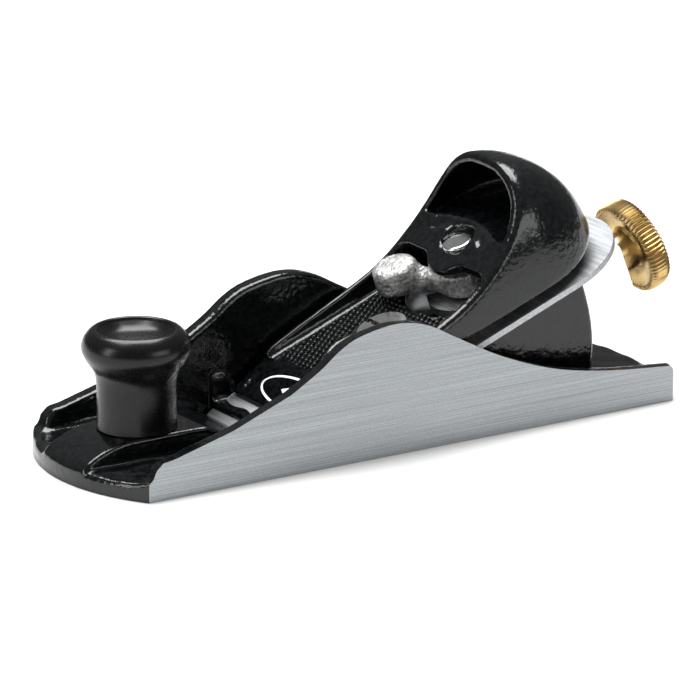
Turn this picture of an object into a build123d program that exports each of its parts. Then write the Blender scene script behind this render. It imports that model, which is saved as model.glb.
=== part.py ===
from build123d import *
import os
from math import cos, radians, sin, sqrt, tan

# A block plane: cast body with a low bed, bevel-up blade, hooded lever cap with a cam lever,
# and a wheel and lateral lever behind the bed.  Millimetres and degrees.  +X runs from toe to
# heel, +Z is up, and the origin is on the sole, midway between the tips of toe and heel.

# ---------------------------------------------------------------- driving dimensions

# body casting
toe_reach = 51.5            # cutting edge to the tip of the toe
heel_reach = 103.9          # cutting edge to the tip of the heel
body_width = 51.0
toe_radius = 43.6           # plan curve of the toe
heel_radius = 74.0
cheek_thickness = 3.8
cheek_height = 31.0         # crest of the cheeks above the sole
toe_wall_height = 9.0       # top of the cheeks just behind the toe
toe_nose = 4.5              # upright part of the cheek's front end
toe_nose_run = 5.5          # length over which the front end rounds over
heel_wall_height = 8.4
floor_height = 4.0          # top of the sole plate inside the cheeks
toe_lip_height = 4.6
pad_height = 9.3            # raised pad under the knob
pad_half_width = 9.0
pad_slope_run = 9.5         # from the toe's tip to the level part of the pad
ramp_length = 18.0          # from the pad down to the cutting edge
flare_setback = 22.0        # ahead of the cutting edge, where the pad begins to widen
flare_slope = 1.6           # widening at the cheeks, width for length
mouth_front_gap = 1.8       # mouth's front wall ahead of the cutting edge
mouth_rear_gap = 2.0        # bed's tip behind the cutting edge
mouth_lip_height = 2.0

# bed and blade
bed_slope = 21.0
edge_lift = 0.75            # cutting edge above the sole, retracted for storage
blade_width = 41.3
blade_thickness = 1.4
blade_length = 102.2
bevel_length = 4.7
edge_flat = 0.1
slot_half_width = 5.2       # long slot round the cap screw
slot_start = 26.0
slot_end = 60.0
notch_count = 9
notch_pitch = 2.5
notch_width = 1.2
notch_depth = 1.0
notch_span = 11.0
bed_gap = 0.1               # blade to bed, a sliding fit
bed_solid_length = 24.0     # full-width part of the bed, measured along the slope
rib_inner = 10.0            # the bed's two ribs, half-distances across
rib_outer = 16.0
rib_length = 85.8
rib_foot_run = 2.8          # how far the rib's foot reaches behind its top
rib_rear_bulge = 2.0        # how far the ribs' rear edge bows past a straight line
crossbar_start = 33.0
crossbar_end = 60.0
crossbar_depth = 7.0

# front knob
knob_setback = 20.5         # knob axis behind the toe's tip
knob_base_radius = 9.3
knob_waist_radius = 9.1
knob_head_radius = 12.5
knob_rim_radius = 8.9
knob_height = 23.3
knob_head_height = 18.6     # widest part above the pad
knob_neck_height = 12.3
knob_rim_land = 0.6         # flat ring between the rounded head and the dish
knob_dish_depth = 3.2
stud_radius = 3.0
stud_reach = 15.0           # stud's length above the pad
stud_root = 7.0             # stud's length below the pad

# lever cap, hood and its screw
cap_start = 7.0             # front edge of the cap, along the blade
cap_panel_start = 19.0      # stippled panel and side rims begin
cap_lift = 0.3              # cap above the blade
cap_foot_length = 4.0
cap_underside = 3.0
cap_nose_height = 2.8
panel_height = 5.9
hood_half_width = 20.2      # between the hood's flat sides
hood_arch_half_width = 22.6   # of the arch the flat sides are cut from
hood_height = 29.4          # from the hood's base to its crown
hood_rear_length = 23.6     # crown to the rear of the hood
hood_start = 74.0           # where the straight arch turns into the dome
hood_base = 2.9
hood_wall = 2.3
hood_rear_lift = 3.0        # rear of the hood's lower edge, above its base
rim_start_height = 7.2
rim_tip = 79.8              # crown of the hood's front opening, along the blade
shelf_start = 60.5
shelf_underside = 10.6
shelf_top = 16.4
cap_screw_place = 40.3
cap_screw_radius = 3.5
cap_screw_length = 14.0
screw_head_radius = 6.0
screw_head_height = 1.2
screw_slot_width = 1.4
screw_slot_depth = 0.8
keyhole_clearance = 0.3
keyhole_travel = 8.0        # slide needed to lift the cap off
keyhole_head_clearance = 0.5
screw_boss_radius = 5.5

# cam lever under the hood
cam_place = 65.8            # cam axis, along the blade
cam_boss_radius = 8.0
cam_pin_radius = 2.0
cam_pin_head_radius = 3.6
cam_pin_head_height = 1.2
cam_cup_radius = 4.4
cam_cup_depth = 1.6
cam_hub_radius = 6.8
cam_washer_radius = 5.0
cam_washer_thickness = 0.4
cam_washer_gap = 0.1
cam_angle = 142.4           # locked direction of the lever, from the heel direction
cam_arm = 15.9              # cam axis to the middle of the thumb pad
cam_neck_half_width = 2.8
thumb_radius = 5.2
thumb_underside = 7.7
thumb_top = 14.6
thumb_round = 1.2
disc_radius = 11.0
disc_thickness = 2.2
cam_well_radius = 15.5

# depth screw, wheel and lateral lever
screw_axis_depth = 9.9      # spindle axis below the blade's underside
thread_radius = 2.5
spindle_start = 66.0
nut_place = 78.0
nut_length = 8.0
nut_half_width = 6.0
nut_depth = 10.9
nut_shoulder = 3.0          # nut's top below the blade
nib_width = 1.0
nib_span = 10.0
nib_clearance = 0.2
retract_travel = 3.0
project_travel = 0.8
lever_top = 0.9             # lateral lever's top below the blade
lever_sheet = 1.5
lever_half_width = 8.7
lever_eye_radius = 5.0
pivot_place = 52.0
pivot_radius = 2.0
pivot_head_radius = 3.6
pivot_head_height = 0.5
pivot_root = 4.5
flange_start = 88.0
flange_depth = 16.1
flange_shoulder = 9.0       # upright front edge, before the lower edge slopes away
flange_toe = 96.0           # where the sloping lower edge ends
flange_corner = 3.5
cross_plate_rear = 101.0
clip_radius = 4.2
clip_thickness = 1.0
clip_groove = 0.5
washer_radius = 5.5
washer_thickness = 1.0
wheel_start = 106.3
wheel_thickness = 5.4
wheel_radius = 11.5
wheel_edge_round = 1.2
wheel_hub_radius = 4.8
wheel_dish_depth = 1.6
wheel_dish_radius = 10.2

# named clearances
running_clearance = 0.05    # radial, a turning shaft in its hole
body_gap = 0.3              # between parts that pass each other

# ---------------------------------------------------------------- derived places

edge_x = (toe_reach - heel_reach) / 2
toe_x = edge_x - toe_reach
heel_x = edge_x + heel_reach
half_width = body_width / 2
well_half_width = half_width - cheek_thickness
toe_corner_x = toe_x + toe_radius - sqrt(toe_radius**2 - half_width**2)
heel_corner_x = heel_x - heel_radius + sqrt(heel_radius**2 - half_width**2)
past = 1.0                  # how far a cutting shape runs past the solid it cuts
knob_x = toe_x + knob_setback
ramp_top_x = edge_x - ramp_length
flare_x = edge_x - flare_setback
mouth_front_x = edge_x - mouth_front_gap
mouth_rear_x = edge_x + mouth_rear_gap
ramp_share = (floor_height - mouth_lip_height) / (pad_height - mouth_lip_height)
ramp_foot_x = mouth_front_x - ramp_share * (mouth_front_x - ramp_top_x)

slope = radians(bed_slope)
along = Vector(cos(slope), 0, sin(slope))
across = Vector(0, 1, 0)
out = Vector(-sin(slope), 0, cos(slope))


def bed_point(u, v, y=0.0):
    """The point u along the blade's underside from its edge, v above it and y across."""
    return Vector(edge_x, 0, edge_lift) + along * u + out * v + across * y


def bed_plane(u=0.0, v=0.0):
    """A plane parallel to the blade: x runs up the bed, y across, the normal out of it."""
    return Plane(origin=bed_point(u, v), x_dir=along, z_dir=out)


def bed_section(u=0.0, v=0.0):
    """A plane square to the blade: x runs across, y out of the bed, the normal up the bed."""
    return Plane(origin=bed_point(u, v), x_dir=across, z_dir=along)


bed_side = Plane(origin=bed_point(0, 0), x_dir=along, z_dir=-across)


def bed_height(x, v):
    """Height above the sole of the line v above the blade's underside, at a given x."""
    start = bed_point(0, v)
    return start.Z + (x - start.X) * tan(slope)


def bed_axis(v):
    """An axis up the bed, v above the blade's underside."""
    return Axis(bed_point(0, v), along)


def upright_axis(u):
    """An axis square to the bed, u along it."""
    return Axis(bed_point(u, 0), out)


# ---------------------------------------------------------------- body casting

# crest of the cheek: distance behind the cutting edge, drop below the crest
cheek_crest = [
    (-5.3, 12.0), (2.3, 7.6), (7.6, 3.8), (13.0, 1.4),
    (22.4, 0.0), (30.6, 1.5), (38.8, 5.8), (51.1, 12.3),
]
# tail of the cheek: share of the way from the crest's end to the heel, height above the heel wall
cheek_tail = [(0.3, 4.7), (0.6, 1.8)]

crest_points = [(edge_x + run, cheek_height - drop) for run, drop in cheek_crest]
tail_start_x = crest_points[-1][0]
tail_points = [
    (tail_start_x + share * (heel_corner_x - tail_start_x), heel_wall_height + rise)
    for share, rise in cheek_tail
]

rib_front_x = bed_point(bed_solid_length, -bed_gap).X
rib_top = bed_point(rib_length, -bed_gap)
rib_foot_x = rib_top.X + rib_foot_run
rib_middle = ((rib_top.X + rib_foot_x) / 2 + rib_rear_bulge, (rib_top.Z + floor_height) / 2)
crossbar_top = -(lever_top + lever_sheet + body_gap)

# pad under the knob and the ramp behind it, which spreads to the cheeks as it falls
with BuildPart() as pad_and_ramp:
    with BuildSketch(Plane.XZ):
        with BuildLine():
            Polyline(
                (toe_x + past, floor_height - past),
                (toe_x + past, toe_lip_height),
                (toe_x + pad_slope_run, pad_height),
                (ramp_top_x, pad_height),
                (ramp_foot_x, floor_height),
                (ramp_foot_x, floor_height - past),
                close=True,
            )
        make_face()
    extrude(amount=half_width, both=True)
    with BuildSketch(Plane.XY):
        with BuildLine():
            Polyline((flare_x, pad_half_width), (toe_x, pad_half_width), (toe_x, 0), (ramp_foot_x, 0))
            Line((ramp_foot_x, 0), (ramp_foot_x, well_half_width))
            Spline(
                (ramp_foot_x, well_half_width),
                (flare_x, pad_half_width),
                tangents=((-1, -flare_slope), (-1, 0)),
            )
        make_face()
        mirror(about=Plane.XZ)
    extrude(amount=cheek_height, mode=Mode.INTERSECT)

with BuildPart() as body_casting:
    # blank with the plan outline of the sole
    with BuildSketch(Plane.XY):
        with BuildLine():
            ThreePointArc((toe_corner_x, half_width), (toe_x, 0), (toe_corner_x, -half_width))
            Line((toe_corner_x, -half_width), (heel_corner_x, -half_width))
            ThreePointArc((heel_corner_x, -half_width), (heel_x, 0), (heel_corner_x, half_width))
            Line((heel_corner_x, half_width), (toe_corner_x, half_width))
        make_face()
    extrude(amount=cheek_height)

    # side outline of the cheeks
    with BuildSketch(Plane.XZ):
        with BuildLine():
            Polyline((toe_x - past, 0), (toe_x - past, toe_nose), (toe_corner_x, toe_nose))
            Spline(
                (toe_corner_x, toe_nose),
                (toe_corner_x + toe_nose_run, toe_wall_height),
                tangents=((0, 1), (1, 0.3)),
            )
            Line((toe_corner_x + toe_nose_run, toe_wall_height), crest_points[0])
            Spline(*crest_points, *tail_points, (heel_x + past, heel_wall_height))
            Polyline((heel_x + past, heel_wall_height), (heel_x + past, 0), (toe_x - past, 0))
        make_face()
    extrude(amount=half_width + past, both=True, mode=Mode.INTERSECT)

    # everything between the cheeks: toe floor, mouth, bed and heel floor
    with BuildSketch(Plane.XZ):
        with BuildLine():
            Polyline(
                (toe_x - past, cheek_height + past),
                (toe_x - past, floor_height),
                (ramp_foot_x, floor_height),
                (mouth_front_x, mouth_lip_height),
                (mouth_front_x, -past),
                (mouth_rear_x, -past),
                (mouth_rear_x, bed_height(mouth_rear_x, -bed_gap)),
                (rib_front_x, bed_height(rib_front_x, -bed_gap)),
                (rib_front_x, floor_height),
                (heel_x + past, floor_height),
                (heel_x + past, cheek_height + past),
                close=True,
            )
        make_face()
    extrude(amount=well_half_width, both=True, mode=Mode.SUBTRACT)

    add(pad_and_ramp.part)

    # two ribs that carry the blade behind the solid part of the bed
    rib_middle_y = (rib_inner + rib_outer) / 2
    with BuildSketch(Plane.XZ):
        with BuildLine():
            Polyline(
                (rib_foot_x, floor_height - past),
                (rib_front_x - past, floor_height - past),
                (rib_front_x - past, bed_height(rib_front_x - past, -bed_gap)),
                (rib_top.X, rib_top.Z),
            )
            ThreePointArc((rib_top.X, rib_top.Z), rib_middle, (rib_foot_x, floor_height))
            Line((rib_foot_x, floor_height), (rib_foot_x, floor_height - past))
        make_face()
    extrude(amount=rib_outer, both=True)
    with BuildSketch(Plane.XZ):
        with BuildLine():
            Polyline(
                (rib_front_x, floor_height),
                (rib_foot_x + rib_rear_bulge + past, floor_height),
                (rib_foot_x + rib_rear_bulge + past, cheek_height + past),
                (rib_front_x, cheek_height + past),
                close=True,
            )
        make_face()
    extrude(amount=rib_inner, both=True, mode=Mode.SUBTRACT)

    # crossbar between the ribs, with the boss for the cap screw
    with BuildSketch(bed_side):
        with BuildLine():
            Polyline(
                (crossbar_start, crossbar_top),
                (crossbar_end, crossbar_top),
                (crossbar_end, crossbar_top - crossbar_depth),
                (crossbar_start, crossbar_top - crossbar_depth),
                close=True,
            )
        make_face()
    extrude(amount=rib_inner + past, both=True)
    with BuildSketch(bed_plane(cap_screw_place, crossbar_top - past)):
        Circle(screw_boss_radius)
    extrude(amount=past - crossbar_top - body_gap)

    # threaded holes for the cap screw and the lateral pivot, and the hole for the knob's stud
    with BuildSketch(bed_plane(cap_screw_place, crossbar_top - crossbar_depth - past)):
        Circle(cap_screw_radius)
    extrude(amount=crossbar_depth + 4 * past, mode=Mode.SUBTRACT)
    with BuildSketch(bed_plane(pivot_place, crossbar_top - pivot_root)):
        Circle(pivot_radius)
    extrude(amount=pivot_root + past, mode=Mode.SUBTRACT)
    with BuildSketch(Plane.XY.offset(pad_height - stud_root)):
        with Locations((knob_x, 0)):
            Circle(stud_radius)
    extrude(amount=stud_root + past, mode=Mode.SUBTRACT)

body_casting.part.label = "body_casting"

# ---------------------------------------------------------------- front knob and its stud

with BuildPart() as front_knob:
    with BuildSketch(Plane(origin=(knob_x, 0, pad_height), x_dir=(1, 0, 0), z_dir=(0, -1, 0))):
        with BuildLine():
            Line((0, 0), (knob_base_radius, 0))
            Spline(
                (knob_base_radius, 0),
                (knob_waist_radius, knob_neck_height / 2),
                (knob_base_radius, knob_neck_height),
                (knob_head_radius, knob_head_height),
                (knob_rim_radius, knob_height),
                tangents=((0, 1), (-1, 0.2)),
            )
            Line((knob_rim_radius, knob_height), (knob_rim_radius - knob_rim_land, knob_height))
            Spline(
                (knob_rim_radius - knob_rim_land, knob_height),
                (0, knob_height - knob_dish_depth),
                tangents=((-1, -1), (-1, 0)),
            )
            Line((0, knob_height - knob_dish_depth), (0, 0))
        make_face()
    revolve(axis=Axis((knob_x, 0, 0), (0, 0, 1)))
    with BuildSketch(Plane.XY.offset(pad_height)):
        with Locations((knob_x, 0)):
            Circle(stud_radius)
    extrude(amount=stud_reach, mode=Mode.SUBTRACT)
front_knob.part.label = "front_knob"

with BuildPart() as knob_stud:
    with BuildSketch(Plane.XY.offset(pad_height - stud_root)):
        with Locations((knob_x, 0)):
            Circle(stud_radius)
    extrude(amount=stud_root + stud_reach)
knob_stud.part.label = "knob_stud"

# ---------------------------------------------------------------- cap screw and lateral pivot

screw_head_base = panel_height + body_gap
screw_head_top = screw_head_base + screw_head_height

with BuildPart() as cap_screw:
    with BuildSketch(bed_plane(cap_screw_place, screw_head_base - cap_screw_length)):
        Circle(cap_screw_radius)
    extrude(amount=cap_screw_length)
    with BuildSketch(bed_plane(cap_screw_place, screw_head_base)):
        Circle(screw_head_radius)
    extrude(amount=screw_head_height)
    with BuildSketch(bed_plane(cap_screw_place, screw_head_top - screw_slot_depth)):
        Rectangle(screw_slot_width, 2 * screw_head_radius + past)
    extrude(amount=screw_slot_depth + past, mode=Mode.SUBTRACT)
cap_screw.part.label = "cap_screw"

pivot_head_base = -(lever_top - running_clearance)

with BuildPart() as lateral_pivot:
    with BuildSketch(bed_plane(pivot_place, crossbar_top - pivot_root)):
        Circle(pivot_radius)
    extrude(amount=pivot_root - crossbar_top + pivot_head_base)
    with BuildSketch(bed_plane(pivot_place, pivot_head_base)):
        Circle(pivot_head_radius)
    extrude(amount=pivot_head_height)
lateral_pivot.part.label = "lateral_pivot"

with BuildPart() as pivot_washer:
    with BuildSketch(bed_plane(pivot_place, crossbar_top)):
        Circle(lever_eye_radius)
        Circle(pivot_radius, mode=Mode.SUBTRACT)
    extrude(amount=body_gap - running_clearance)
pivot_washer.part.label = "pivot_washer"

# ---------------------------------------------------------------- lateral lever

lever_underside = -(lever_top + lever_sheet)
cross_plate_front = cross_plate_rear - lever_sheet
nib_slot_start = nut_place - project_travel - nib_width / 2 - body_gap
nib_slot_end = nut_place + retract_travel + nib_width / 2 + body_gap

with BuildPart() as lateral_lever:
    # flat strip from the pivot's eye to the rear
    with BuildSketch(bed_plane(0, lever_underside)):
        with Locations((pivot_place, 0)):
            Circle(lever_eye_radius)
        with BuildLine():
            Polyline(
                (pivot_place, lever_eye_radius),
                (pivot_place + 2 * lever_eye_radius, lever_half_width),
                (cross_plate_rear, lever_half_width),
                (cross_plate_rear, -lever_half_width),
                (pivot_place + 2 * lever_eye_radius, -lever_half_width),
                (pivot_place, -lever_eye_radius),
                close=True,
            )
        make_face()
        with Locations((pivot_place, 0)):
            Circle(pivot_radius + running_clearance, mode=Mode.SUBTRACT)
        with Locations(((nib_slot_start + nib_slot_end) / 2, 0)):
            Rectangle(nib_slot_end - nib_slot_start, nib_span + 2 * body_gap, mode=Mode.SUBTRACT)
    extrude(amount=lever_sheet)
    # side flanges, bent down, with rounded lower corners
    with BuildSketch(bed_side):
        with BuildLine():
            Polyline(
                (flange_start, -lever_top),
                (flange_start, -(lever_top + flange_shoulder)),
                (flange_toe, -(lever_top + flange_depth)),
                (cross_plate_rear, -(lever_top + flange_depth)),
                (cross_plate_rear, -lever_top),
                close=True,
            )
        flange = make_face()
        fillet(flange.vertices().sort_by(Axis.Z)[:3], flange_corner)
    extrude(amount=lever_half_width, both=True)
    with BuildSketch(bed_side):
        with Locations(((flange_start + cross_plate_front - past) / 2, lever_underside - flange_depth / 2)):
            Rectangle(cross_plate_front - flange_start + past, flange_depth)
    extrude(amount=lever_half_width - lever_sheet, both=True, mode=Mode.SUBTRACT)
    # bearing hole for the spindle
    with BuildSketch(bed_section(cross_plate_front - past, -screw_axis_depth)):
        Circle(thread_radius + running_clearance)
    extrude(amount=lever_sheet + 2 * past, mode=Mode.SUBTRACT)
lateral_lever.part.label = "lateral_lever"

# ---------------------------------------------------------------- spindle, wheel, washer, clip

washer_start = cross_plate_rear + body_gap
hub_start = washer_start + washer_thickness
clip_start = cross_plate_front - body_gap - clip_thickness
wheel_end = wheel_start + wheel_thickness

with BuildPart() as spindle:
    with BuildSketch(bed_section(spindle_start, -screw_axis_depth)):
        Circle(thread_radius)
    extrude(amount=wheel_end - spindle_start)
    chamfer(spindle.edges().filter_by(GeomType.CIRCLE), clip_groove)
    with BuildSketch(bed_section(clip_start, -screw_axis_depth)):
        Circle(thread_radius)
        Circle(thread_radius - clip_groove, mode=Mode.SUBTRACT)
    extrude(amount=clip_thickness, mode=Mode.SUBTRACT)
spindle.part.label = "spindle"

with BuildPart() as retaining_clip:
    with BuildSketch(bed_section(clip_start, -screw_axis_depth)):
        Circle(clip_radius)
        Circle(thread_radius - clip_groove, mode=Mode.SUBTRACT)
        with Locations((0, -clip_radius)):
            Rectangle(2 * (thread_radius - clip_groove), 2 * clip_radius, mode=Mode.SUBTRACT)
    extrude(amount=clip_thickness)
retaining_clip.part.label = "retaining_clip"

with BuildPart() as thrust_washer:
    with BuildSketch(bed_section(washer_start, -screw_axis_depth)):
        Circle(washer_radius)
        Circle(thread_radius, mode=Mode.SUBTRACT)
    extrude(amount=washer_thickness)
thrust_washer.part.label = "thrust_washer"

with BuildPart() as adjusting_wheel:
    with BuildSketch(bed_section(wheel_start, -screw_axis_depth)):
        Circle(wheel_radius)
    extrude(amount=wheel_thickness)
    fillet(adjusting_wheel.edges().filter_by(GeomType.CIRCLE), wheel_edge_round)
    # turned hollow in the front face, then the hub standing out of it
    with BuildSketch(bed_section(wheel_start, -screw_axis_depth)):
        Circle(wheel_dish_radius)
    extrude(amount=wheel_dish_depth, taper=30, mode=Mode.SUBTRACT)
    with BuildSketch(bed_section(hub_start, -screw_axis_depth)):
        Circle(wheel_hub_radius)
    extrude(amount=wheel_start + 2 * wheel_dish_depth - hub_start)
    with BuildSketch(bed_section(hub_start - past, -screw_axis_depth)):
        Circle(thread_radius)
    extrude(amount=wheel_end - hub_start + 2 * past, mode=Mode.SUBTRACT)
adjusting_wheel.part.label = "adjusting_wheel"

# ---------------------------------------------------------------- blade and feed nut

with BuildPart() as blade:
    with BuildSketch(bed_plane()):
        with Locations(((blade_length - blade_width / 2) / 2, 0)):
            Rectangle(blade_length - blade_width / 2, blade_width)
        with Locations((blade_length - blade_width / 2, 0)):
            Circle(blade_width / 2)
        with Locations(((slot_start + slot_end) / 2, 0)):
            SlotOverall(slot_end - slot_start, 2 * slot_half_width, mode=Mode.SUBTRACT)
    extrude(amount=blade_thickness)
    # bevel, ground on the upper face
    with BuildSketch(bed_side):
        with BuildLine():
            Polyline(
                (-past, edge_flat),
                (0, edge_flat),
                (bevel_length, blade_thickness),
                (bevel_length, blade_thickness + past),
                (-past, blade_thickness + past),
                close=True,
            )
        make_face()
    extrude(amount=blade_width / 2 + past, both=True, mode=Mode.SUBTRACT)
    # row of notches in the underside
    with BuildSketch(bed_plane(0, -past)):
        with Locations((nut_place, 0)):
            with GridLocations(notch_pitch, notch_pitch, notch_count, 1):
                Rectangle(notch_width, notch_span)
    extrude(amount=notch_depth + past, mode=Mode.SUBTRACT)
blade.part.label = "blade"

with BuildPart() as feed_nut:
    with BuildSketch(bed_side):
        with Locations((nut_place, -(nut_shoulder + nut_depth / 2))):
            Rectangle(nut_length, nut_depth)
    extrude(amount=nut_half_width, both=True)
    with BuildSketch(bed_plane(nut_place, -nut_shoulder - past)):
        Rectangle(nib_width, nib_span)
    extrude(amount=nut_shoulder + past + notch_depth - nib_clearance)
    with BuildSketch(bed_section(nut_place - nut_length, -screw_axis_depth)):
        Circle(thread_radius + running_clearance)
    extrude(amount=2 * nut_length, mode=Mode.SUBTRACT)
feed_nut.part.label = "feed_nut"

# ---------------------------------------------------------------- lever cap

# rim of the hood's front opening, seen from the side: along the blade, above its underside
rim_points = [
    (36.0, 9.2), (51.0, 10.8), (60.5, 13.8), (66.5, 16.9),
    (71.5, 20.5), (75.4, 24.5), (77.8, 28.3), (79.3, 31.4),
]
dome_angles = (0, 12, 24, 36, 48, 60, 70, 79, 85)   # sections of the dome, round from its base
cap_rear = hood_start + hood_rear_length
crown = hood_base + hood_height


def arched_form(inset):
    """The hood's outer surface moved in by inset: an arch with flat sides that ends in a dome."""
    length, half_span, rise = (
        size - inset for size in (hood_rear_length, hood_arch_half_width, hood_height)
    )
    with BuildPart() as form:
        with BuildSketch(bed_section(0, hood_base)):
            Ellipse(half_span, rise)
        extrude(amount=hood_start)
        for angle in dome_angles:
            with BuildSketch(bed_section(hood_start + length * sin(radians(angle)), hood_base)):
                Ellipse(half_span * cos(radians(angle)), rise * cos(radians(angle)))
        loft()
        with BuildSketch(bed_side):
            with Locations((cap_rear / 2, hood_base)):
                Rectangle(cap_rear + 2 * past, 2 * crown)
        extrude(amount=hood_half_width - inset, both=True, mode=Mode.INTERSECT)
    return form.part


hood_outside = arched_form(0)
hood_inside = arched_form(hood_wall)
web_reach = arched_form(hood_wall / 2)

# the cap's panel and the shelf under the hood, before they are trimmed to the hood's sides
with BuildPart() as cap_webs:
    with BuildSketch(bed_side):
        with BuildLine():
            Polyline(
                (cap_start, blade_thickness + cap_lift),
                (cap_start, cap_nose_height),
                (cap_panel_start, panel_height),
                (cam_place, panel_height),
                (cam_place, cap_underside),
                (cap_start + 2 * cap_foot_length, cap_underside),
                (cap_start + cap_foot_length, blade_thickness + cap_lift),
                close=True,
            )
        make_face()
    extrude(amount=hood_half_width, both=True)
    with BuildSketch(bed_plane(cam_place, 0)):
        Circle(cam_well_radius)
    extrude(amount=shelf_underside, mode=Mode.SUBTRACT)
    with BuildSketch(bed_side):
        with BuildLine():
            Polyline(
                (shelf_start, shelf_underside),
                (shelf_start + past, shelf_top),
                (cap_rear, shelf_top),
                (cap_rear, shelf_underside),
                close=True,
            )
        make_face()
    extrude(amount=hood_half_width, both=True)
    add(web_reach, mode=Mode.INTERSECT)

with BuildPart() as lever_cap:
    add(hood_outside)
    with BuildSketch(bed_side):
        with BuildLine():
            Polyline(
                (cap_start, blade_thickness + cap_lift),
                (cap_start, cap_nose_height),
                (cap_panel_start, panel_height),
                (cap_panel_start, rim_start_height),
            )
            Spline((cap_panel_start, rim_start_height), *rim_points, (rim_tip, crown + past))
            Polyline(
                (rim_tip, crown + past),
                (cap_rear + past, crown + past),
                (cap_rear + past, hood_base + hood_rear_lift),
            )
            Spline(
                (cap_rear + past, hood_base + hood_rear_lift),
                (hood_start, cap_underside),
                tangents=((-1, -0.3), (-1, 0)),
            )
            Polyline(
                (hood_start, cap_underside),
                (cap_start + 2 * cap_foot_length, cap_underside),
                (cap_start + cap_foot_length, blade_thickness + cap_lift),
                (cap_start, blade_thickness + cap_lift),
            )
        make_face()
    extrude(amount=hood_half_width + past, both=True, mode=Mode.INTERSECT)
    add(hood_inside, mode=Mode.SUBTRACT)
    add(cap_webs.part)
    # boss of the cam, with the cupped seat of its pin
    with BuildSketch(bed_plane(cam_place, shelf_underside)):
        Circle(cam_boss_radius)
    extrude(amount=shelf_top - shelf_underside)
    with BuildSketch(bed_plane(cam_place, shelf_top - cam_cup_depth)):
        Circle(cam_cup_radius)
    extrude(amount=cam_cup_depth + past, mode=Mode.SUBTRACT)
    with BuildSketch(bed_plane(cam_place, shelf_underside - past)):
        Circle(cam_pin_radius)
    extrude(amount=shelf_top - shelf_underside + past, mode=Mode.SUBTRACT)
    # keyhole: narrow end round the screw, wide end towards the toe
    keyhole_radius = cap_screw_radius + keyhole_clearance
    with BuildSketch(bed_plane(cap_screw_place, cap_underside - past)):
        with Locations((-keyhole_travel / 2, 0)):
            SlotOverall(keyhole_travel + 2 * keyhole_radius, 2 * keyhole_radius)
        with Locations((-keyhole_travel, 0)):
            Circle(screw_head_radius + keyhole_head_clearance)
    extrude(amount=panel_height - cap_underside + 2 * past, mode=Mode.SUBTRACT)
lever_cap.part.label = "lever_cap"

# ---------------------------------------------------------------- cam pin, disc, washer, lever

disc_base = blade_thickness + cap_lift
pin_head_base = shelf_top - cam_cup_depth

with BuildPart() as cam_pin:
    with BuildSketch(bed_plane(cam_place, disc_base)):
        Circle(cam_pin_radius)
    extrude(amount=pin_head_base - disc_base)
    with BuildSketch(bed_plane(cam_place, pin_head_base)):
        Circle(cam_pin_head_radius)
    extrude(amount=cam_pin_head_height)
    fillet(cam_pin.faces().sort_by(upright_axis(cam_place))[-1].edges(), cam_pin_head_height / 2)
cam_pin.part.label = "cam_pin"

with BuildPart() as pressure_disc:
    with BuildSketch(bed_plane(cam_place, disc_base)):
        Circle(disc_radius)
        Circle(cam_pin_radius, mode=Mode.SUBTRACT)
    extrude(amount=disc_thickness)
pressure_disc.part.label = "pressure_disc"

with BuildPart() as cam_washer:
    with BuildSketch(bed_plane(cam_place, shelf_underside - cam_washer_thickness)):
        Circle(cam_washer_radius)
        Circle(cam_pin_radius, mode=Mode.SUBTRACT)
    extrude(amount=cam_washer_thickness)
cam_washer.part.label = "cam_washer"

cam_direction = along * cos(radians(cam_angle)) + across * sin(radians(cam_angle))
cam_side = Plane(origin=bed_point(cam_place, 0), x_dir=cam_direction, z_dir=cam_direction.cross(out))
hub_base = disc_base + disc_thickness + body_gap
hub_top = shelf_underside - cam_washer_thickness - cam_washer_gap
neck_start = cam_hub_radius / 2
neck_rise = cam_boss_radius + body_gap      # the neck stays low until it has passed the boss
neck_top = (thumb_top + thumb_underside) / 2

with BuildPart() as cam_lever:
    with BuildSketch(bed_plane(cam_place, hub_base)):
        Circle(cam_hub_radius)
    extrude(amount=hub_top - hub_base)
    # neck, rising from the hub to the thumb pad
    with BuildSketch(cam_side):
        with BuildLine():
            Polyline(
                (neck_rise, hub_top),
                (neck_start, hub_top),
                (neck_start, hub_base),
                (cam_hub_radius, hub_base),
            )
            Spline(
                (cam_hub_radius, hub_base),
                (cam_arm, thumb_underside),
                tangents=((1, 0), (1, 0)),
            )
            Line((cam_arm, thumb_underside), (cam_arm, neck_top))
            Spline((cam_arm, neck_top), (neck_rise, hub_top), tangents=((-1, 0), (-1, 0)))
        make_face()
    extrude(amount=cam_neck_half_width, both=True)
    # thumb pad
    pad_centre = cam_side.from_local_coords((cam_arm, thumb_underside, 0))
    pad_plane = Plane(origin=pad_centre, x_dir=along, z_dir=out)
    with BuildSketch(pad_plane):
        Circle(thumb_radius)
    extrude(amount=thumb_top - thumb_underside)
    fillet(cam_lever.faces().sort_by(upright_axis(cam_place))[-1].edges(), thumb_round)
    with BuildSketch(bed_plane(cam_place, hub_base - past)):
        Circle(cam_pin_radius + running_clearance)
    extrude(amount=hub_top - hub_base + 2 * past, mode=Mode.SUBTRACT)
cam_lever.part.label = "cam_lever"

# ---------------------------------------------------------------- files

pieces = [
    body_casting, front_knob, knob_stud, cap_screw, lateral_pivot, pivot_washer, lateral_lever,
    spindle, retaining_clip, thrust_washer, adjusting_wheel, blade, feed_nut, lever_cap,
    cam_pin, pressure_disc, cam_washer, cam_lever,
]
os.makedirs("parts", exist_ok=True)
for piece in pieces:
    export_step(piece.part, f"parts/{piece.part.label}.step")
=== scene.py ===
from math import cos, pi, radians, sin, tan

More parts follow.
